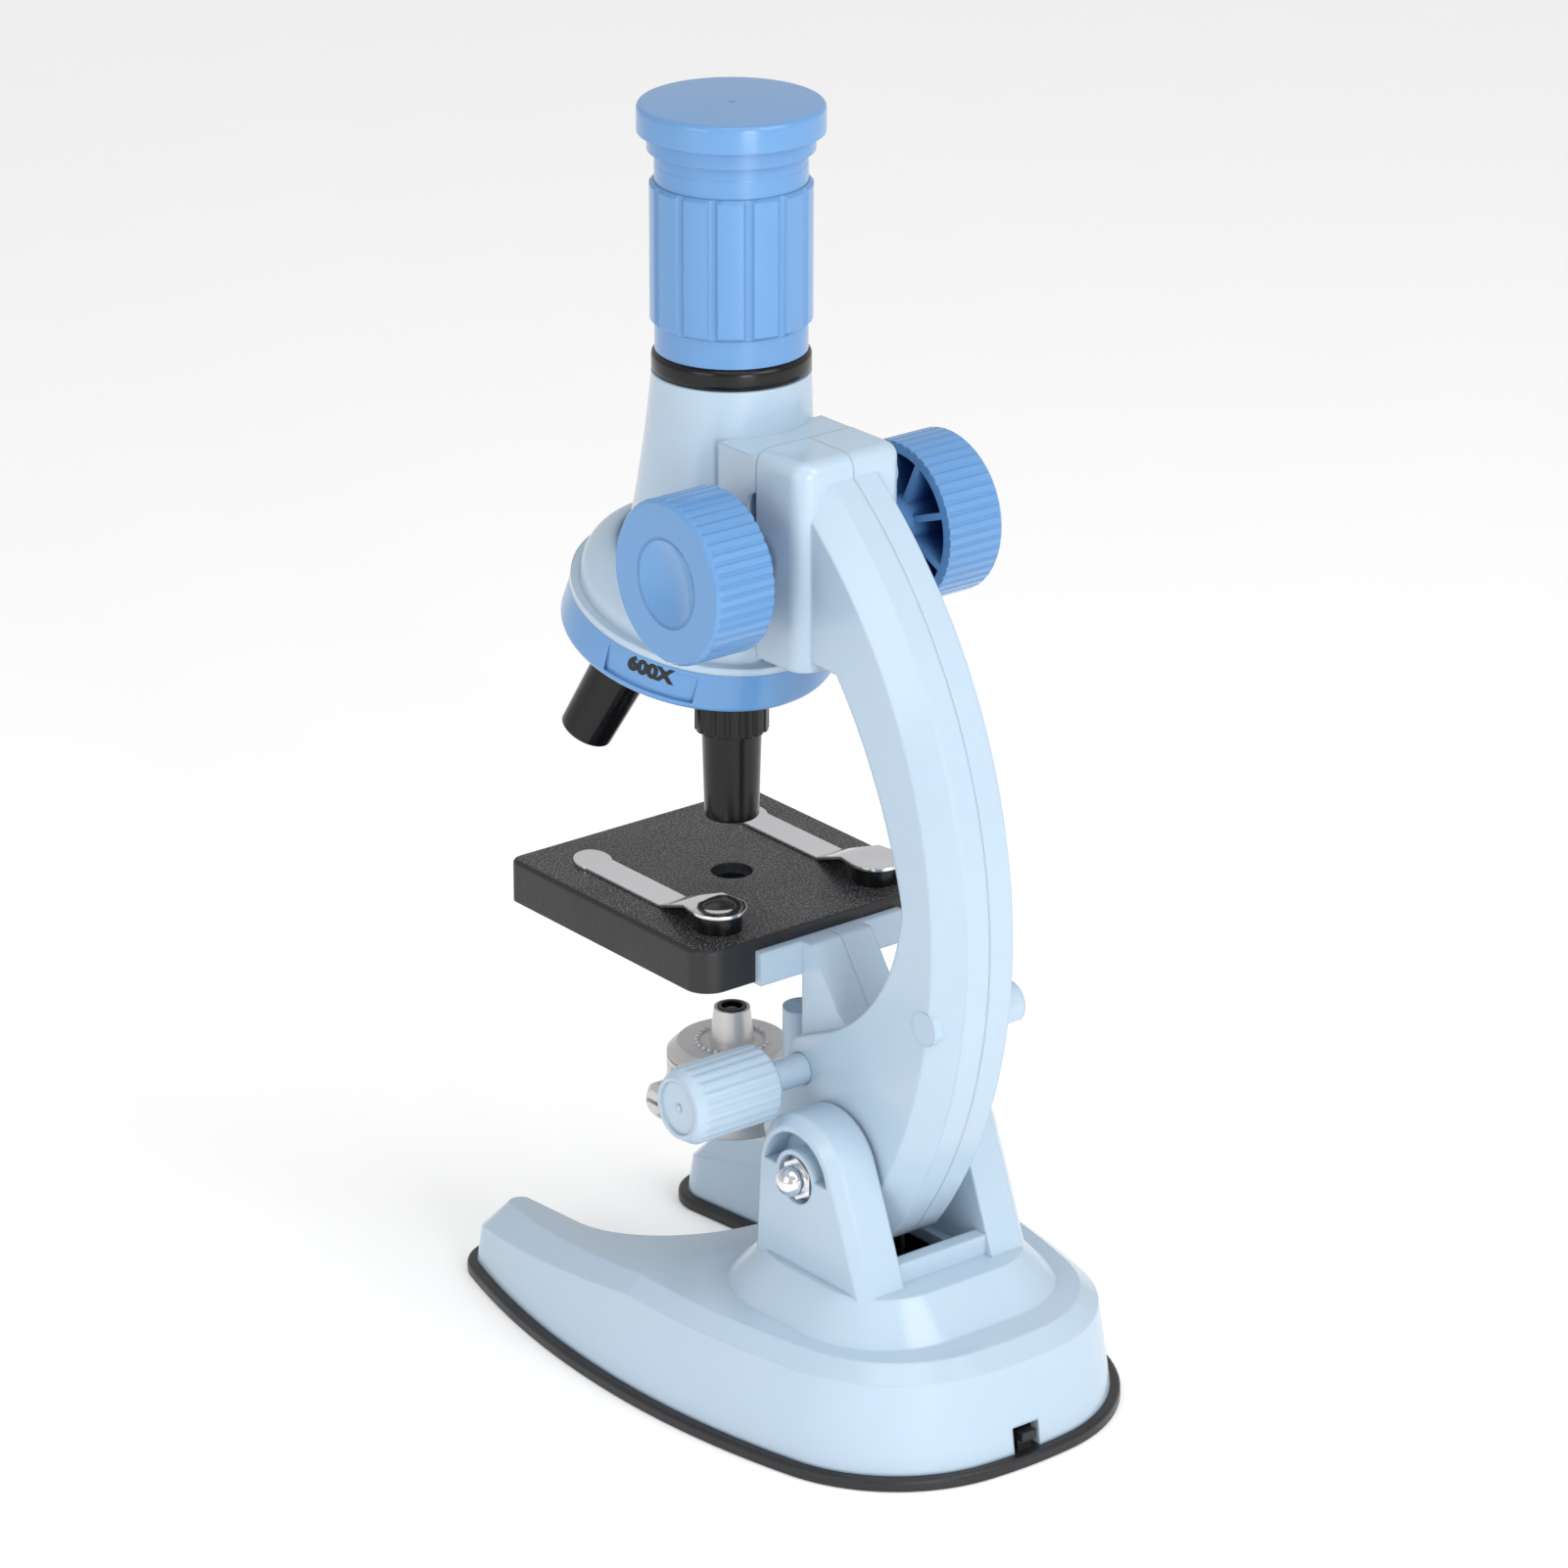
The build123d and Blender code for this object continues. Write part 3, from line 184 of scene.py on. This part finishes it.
library = {
    "light_blue": finish_material(
        "light_blue", LIGHT_BLUE, 0.22, 0.015, 0.025, bump=0.015, wave=0.015, edge=0.8, wear=0.012,
        Subsurface_Weight=0.1, Subsurface_Scale=0.002, Coat_Weight=0.25, Coat_Roughness=0.08,
    ),
    # mid_blue gets painted shade in deep navy in its recesses and between its ribs
    "mid_blue": finish_material(
        "mid_blue", MID_BLUE, 0.22, 0.02, 0.03, bump=0.02, wave=0.015, wear=0.02, painted_shade_color=rgb(24, 66, 138),
        Subsurface_Weight=0.06, Subsurface_Scale=0.0015, Coat_Weight=0.3, Coat_Roughness=0.1,
    ),
    "black_plastic": finish_material(
        "black_plastic", rgb(11, 11, 13), 0.2, 0.12, 0.04,
        bump=0.02, wave=0.02, wear=0.02, Specular_IOR_Level=0.35,
    ),
    "black_plate": finish_material("black_plate", rgb(26, 26, 28), 0.38, 0.12, 0.08, grain=1800.0, bump=0.12),
    "steel": finish_material(
        "steel", rgb(176, 177, 180), 0.3, 0.08, 0.08, grain=3500.0, bump=0.06, Metallic=1.0
    ),
    "chrome": finish_material(
        "chrome", rgb(232, 232, 235), 0.09, 0.03, 0.035,
        grain=900.0, bump=0.015, wave=0.06, wear=0.02, Metallic=1.0,
    ),
    "silver_paint": finish_material(
        "silver_paint", rgb(212, 209, 207), 0.34, 0.04, 0.05, grain=4200.0, bump=0.08, Metallic=0.5
    ),
    "brass": finish_material("brass", rgb(205, 166, 92), 0.3, 0.08, 0.06, Metallic=1.0),
    "white_nylon": finish_material("white_nylon", rgb(226, 223, 212), 0.5, 0.04, 0.08, bump=0.08),
    "mirror": finish_material("mirror", rgb(238, 239, 242), 0.05, 0.01, 0.02, bump=0.004, Metallic=1.0),
    "board_green": finish_material("board_green", rgb(30, 96, 58), 0.35, 0.1, 0.06, grain=1500.0),
    "led_dome": finish_material("led_dome", rgb(244, 240, 214), 0.12, 0.02, 0.03, Transmission_Weight=0.5),
    "cell_wrap": finish_material("cell_wrap", rgb(58, 62, 70), 0.3, 0.08, 0.06, Metallic=0.3),
    "wire_sleeve": finish_material("wire_sleeve", rgb(24, 22, 24), 0.42, 0.08, 0.06),
}

glass = finish_material("glass", rgb(236, 244, 248), 0.06, 0.01, 0.015, bump=0.004, wear=0.0)
glass.shader.inputs["Transmission Weight"].default_value = 0.92
glass.shader.inputs["IOR"].default_value = 1.49
library["glass"] = glass


def stage_surface():
    """Black stage: pale specks on the flat top, plain satin sides."""
    g = finish_material("stage_black", rgb(24, 24, 26), 0.4, 0.12, 0.06, grain=2200.0, bump=0.35)
    specks = g.noise(2400.0, 1.0, 0.4)
    facing = g.add("ShaderNodeNewGeometry")
    split = g.add("ShaderNodeSeparateXYZ")
    g.link(facing.outputs["Normal"], split.inputs[0])
    up = g.remap(split.outputs["Z"], 0.0, 1.0, 0.9, 0.99)
    amount = g.math("MULTIPLY", g.remap(specks, 0.0, 0.75, 0.48, 0.64), up)
    plain = g.shader.inputs["Base Color"].links[0].from_socket
    g.link(g.mix(amount, plain, rgb(120, 118, 118)), g.shader.inputs["Base Color"])
    return g


library["stage_black"] = stage_surface()
ink = finish_material("ink", rgb(16, 16, 18), 0.4, 0.1, 0.05, bump=0.05)


def dress(obj, slot_name):
    obj.data.materials.clear()
    obj.data.materials.append(library[slot_name].material)


WELD_REACH = 2e-6
CREASE = math.radians(28)

for name, obj in nodes.items():
    dress(obj, slots[name])
    if "custom_normal" in obj.data.attributes:
        obj.data.attributes.remove(obj.data.attributes["custom_normal"])
    obj.data.polygons.foreach_set("use_smooth", [True] * len(obj.data.polygons))
    weld = obj.modifiers.new("weld", "WELD")
    weld.merge_threshold = WELD_REACH
    split = obj.modifiers.new("creases", "EDGE_SPLIT")
    split.split_angle = CREASE


# ---------------------------------------------------------------- marks on the turret

turret = joints["turret_turn"]
turret_axis = Vector(turret["axis"]).normalized()
turret_centre = Vector(turret["pos_m"])
across = Vector((1.0, 0.0, 0.0))
behind = turret_axis.cross(across)
BAND_R = 23.68 * MM  # just proud of the turret's panels
MARK_HEIGHT = 5.2 * MM  # above the turret's lower face
MARK_SIZE = 3.7 * MM
MARK_BOLD = 0.2 * MM
MARK_THICK = 0.05 * MM


def turret_mark(text, angle):
    """Printed magnification on the band, wrapped round it."""
    curve = bpy.data.curves.new("mark_" + text, "FONT")
    curve.body = text
    curve.size = MARK_SIZE
    curve.align_x, curve.align_y = "CENTER", "CENTER"
    curve.offset = MARK_BOLD
    curve.extrude = MARK_THICK
    curve.resolution_u = 6
    flat = bpy.data.objects.new("flat", curve)
    bpy.context.collection.objects.link(flat)
    mesh = bpy.data.meshes.new_from_object(flat.evaluated_get(bpy.context.evaluated_depsgraph_get()))
    bpy.data.objects.remove(flat)
    mark = bpy.data.objects.new("mark_" + text, mesh)
    bpy.context.collection.objects.link(mark)
    for vertex in mesh.vertices:
        turn = math.radians(angle) + vertex.co.x / BAND_R
        out = across * math.cos(turn) + behind * math.sin(turn)
        height = MARK_HEIGHT + vertex.co.y
        vertex.co = turret_centre + turret_axis * height + out * (BAND_R + vertex.co.z)
    mesh.materials.append(ink.material)
    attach(mark, "turret")


for text, angle in (("600X", 30.0), ("300X", 150.0), ("100X", 270.0)):
    turret_mark(text, angle)


# ---------------------------------------------------------------- leads across the tilting hinge


WIRE_R = 0.55 * MM
WIRE_Y_LOW, WIRE_Y_MID, WIRE_Y_HIGH = 0.0250, 0.0248, 0.0245  # at base, bend, arm
WIRE_TOP = 0.0318


def lead(name, x):
    """One wire's loop between the pedestal and the arm."""
    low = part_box("base_wires")[1].z
    curve = bpy.data.curves.new(name, "CURVE")
    curve.dimensions = "3D"
    curve.bevel_depth = WIRE_R
    curve.bevel_resolution = 3
    spline = curve.splines.new("BEZIER")
    points = [(x, WIRE_Y_LOW, low - 0.0006), (x, WIRE_Y_MID, low + 0.0012), (x, WIRE_Y_HIGH, WIRE_TOP)]
    spline.bezier_points.add(len(points) - 1)
    for point, place in zip(spline.bezier_points, points):
        point.co = place
        point.handle_left_type = point.handle_right_type = "AUTO"
    obj = bpy.data.objects.new(name, curve)
    bpy.context.collection.objects.link(obj)
    mesh = bpy.data.meshes.new_from_object(obj.evaluated_get(bpy.context.evaluated_depsgraph_get()))
    bpy.data.objects.remove(obj)
    wire = bpy.data.objects.new(name, mesh)
    bpy.context.collection.objects.link(wire)
    mesh.materials.append(library["wire_sleeve"].material)
    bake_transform(wire)


lead("lead_right", 0.0011)
lead("lead_left", -0.0011)


# ---------------------------------------------------------------- studio

MIDDLE = Vector((0.0, 0.0, 0.11))


def softbox(name, place, width, height, power):
    """Rectangular lamp aimed at the middle of the object."""
    lamp = bpy.data.lights.new(name, "AREA")
    lamp.shape = "RECTANGLE"
    lamp.size, lamp.size_y = width, height
    lamp.energy = power
    obj = bpy.data.objects.new(name, lamp)
    bpy.context.collection.objects.link(obj)
    obj.location = place
    obj.rotation_euler = (MIDDLE - Vector(place)).to_track_quat("-Z", "Y").to_euler()


EYE = Vector((0.6298, 0.7835, 0.5080))
AIM = Vector((0.0, -0.0065, 0.1025))
LENS, SENSOR, ROLL = 146.0, 36.0, math.radians(0.15)
camera = bpy.data.cameras.new("camera")
camera.lens = LENS
camera.sensor_width = SENSOR
camera.clip_start = 0.01
rig = bpy.data.objects.new("camera", camera)
bpy.context.collection.objects.link(rig)
rig.location = EYE
roll = Matrix.Rotation(ROLL, 4, "Z")
rig.rotation_euler = ((AIM - EYE).to_track_quat("-Z", "Y").to_matrix().to_4x4() @ roll).to_euler()
bpy.context.scene.camera = rig

world = bpy.data.worlds.new("studio")
world.use_nodes = True
background = world.node_tree.nodes["Background"]
background.inputs["Color"].default_value = (1.0, 1.0, 1.0, 1.0)
rays = world.node_tree.nodes.new("ShaderNodeLightPath")
level = world.node_tree.nodes.new("ShaderNodeMapRange")
level.inputs["To Min"].default_value = 0.62
level.inputs["To Max"].default_value = 1.0
world.node_tree.links.new(rays.outputs["Is Camera Ray"], level.inputs["Value"])
world.node_tree.links.new(level.outputs["Result"], background.inputs["Strength"])
bpy.context.scene.world = world
bpy.context.scene.view_settings.view_transform = "Standard"

softbox("key", (-0.25, 0.75, 0.75), 0.5, 0.6, 3.1)
softbox("strip_one", (0.34, 0.92, 0.22), 0.07, 0.5, 1.5)
softbox("strip_two", (0.20, 0.96, 0.22), 0.07, 0.5, 1.5)
softbox("fill", (0.95, 0.15, 0.45), 0.5, 0.6, 2.0)
softbox("top", (0.1, 0.2, 0.9), 0.5, 0.5, 1.2)

floor_mesh = bpy.data.meshes.new("floor")
FLOOR_HALF = 3.0
corners = [(FLOOR_HALF * a, FLOOR_HALF * b, 0) for a, b in ((-1, -1), (1, -1), (1, 1), (-1, 1))]
floor_mesh.from_pydata(corners, [], [(0, 1, 2, 3)])
floor = bpy.data.objects.new("floor", floor_mesh)
bpy.context.collection.objects.link(floor)
pale = finish_material(
    "pale_floor", (0.93, 0.93, 0.93, 1.0), 0.6, 0.004, 0.03,
    grain=700.0, bump=0.02, wear=0.0, Emission_Strength=0.2,
)
floor_mesh.materials.append(pale.material)
floor.location = (0.0, 0.0, -0.0002)

bpy.context.view_layer.update()
